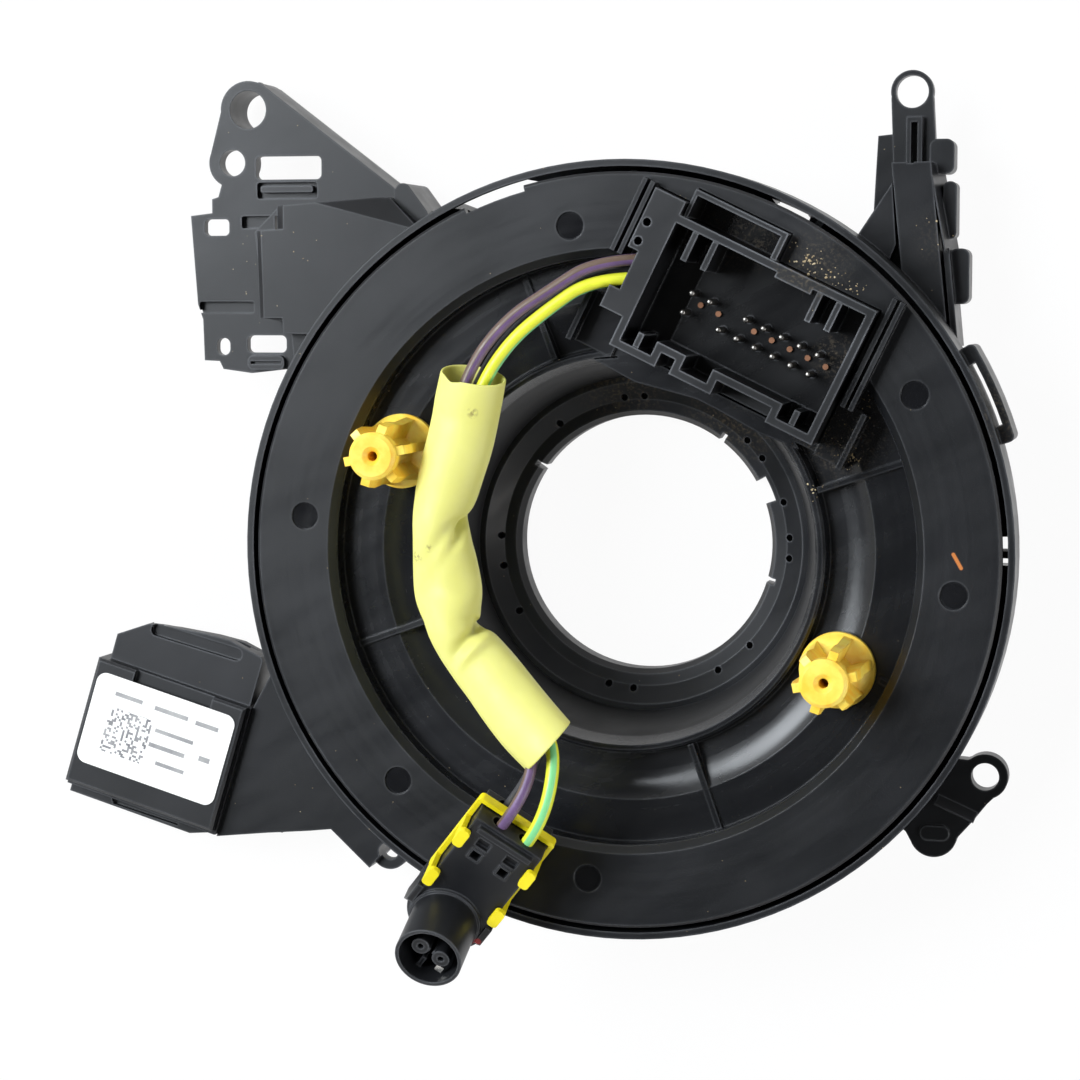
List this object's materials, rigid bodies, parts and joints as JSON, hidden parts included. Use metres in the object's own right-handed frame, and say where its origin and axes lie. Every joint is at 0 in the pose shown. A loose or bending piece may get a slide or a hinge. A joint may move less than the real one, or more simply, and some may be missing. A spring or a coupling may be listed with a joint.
{
  "type": "steering clock spring",
  "caption": "Round steering column clock spring: a disc that turns in a fixed housing, with a switch socket, drive pins, airbag lead and plug, fixing lugs and a sensor module.",
  "frame": {"origin": "centre of the column bore in the plane of the back face", "axes": "+Z along the column axis towards the driver, +Y up, +X to the right as the driver sees it; it lies on its back face"},
  "size_m": [0.1467, 0.1295, 0.0424],
  "materials": {
    "housing_black": "fine grained moulding",
    "cover_black": "fine grained moulding",
    "rotor_black": "satin moulding with scuffs and dust",
    "ring_black": "satin moulding",
    "socket_black": "satin moulding",
    "terminal_black": "satin moulding",
    "module_black": "satin moulding",
    "plug_black": "satin moulding",
    "amber_plastic": "glossy nylon, dusty",
    "lock_yellow": "glossy",
    "lead_purple": "smooth insulation with a brown line",
    "lead_yellow": "smooth insulation with a green line",
    "lead_grey": "smooth insulation",
    "sleeve_yellow": "thin creased film tube",
    "ribbon_film": "clear film over flat copper",
    "label_white": "smooth label with grey print",
    "board_green": "solder mask",
    "tinned_pins": "bright tin",
    "copper": "bright copper",
    "spring_steel": "bright"
  },
  "bodies": {
    "housing": {"stator_case": "housing_black", "rear_cover": "cover_black", "ribbon_cable": "ribbon_film", "stator_terminal": "terminal_black", "harness_pins": "tinned_pins", "sensor_case": "module_black", "sensor_cover": "module_black", "sensor_label": "label_white", "sensor_board": "board_green", "sensor_pins": "tinned_pins"},
    "turning_side": {"rotor": "rotor_black", "lock_ring": "ring_black", "rotor_terminal": "terminal_black", "socket_housing": "socket_black", "socket_pins": "tinned_pins", "contact_studs": "copper", "drive_pin_left": "amber_plastic", "drive_pin_right": "amber_plastic", "wire_purple": "lead_purple", "wire_yellow": "lead_yellow", "wire_grey": "lead_grey", "wire_sleeve": "sleeve_yellow", "plug_body": "plug_black", "plug_contacts": "tinned_pins", "plug_spring": "spring_steel"},
    "plug_lock": {"plug_lock": "lock_yellow"}
  },
  "joints": [
    {"name": "disc_turn", "type": "hinge", "parent": "housing", "child": "turning_side", "pos_m": [0, 0, 0], "axis": [0, 0, 1], "range_deg": [-900, 900]},
    {"name": "plug_lock_slide", "type": "slide", "parent": "turning_side", "child": "plug_lock", "axis": [0.5983, 0.7207, 0.3502], "range_m": [0, 0.002]}
  ]
}
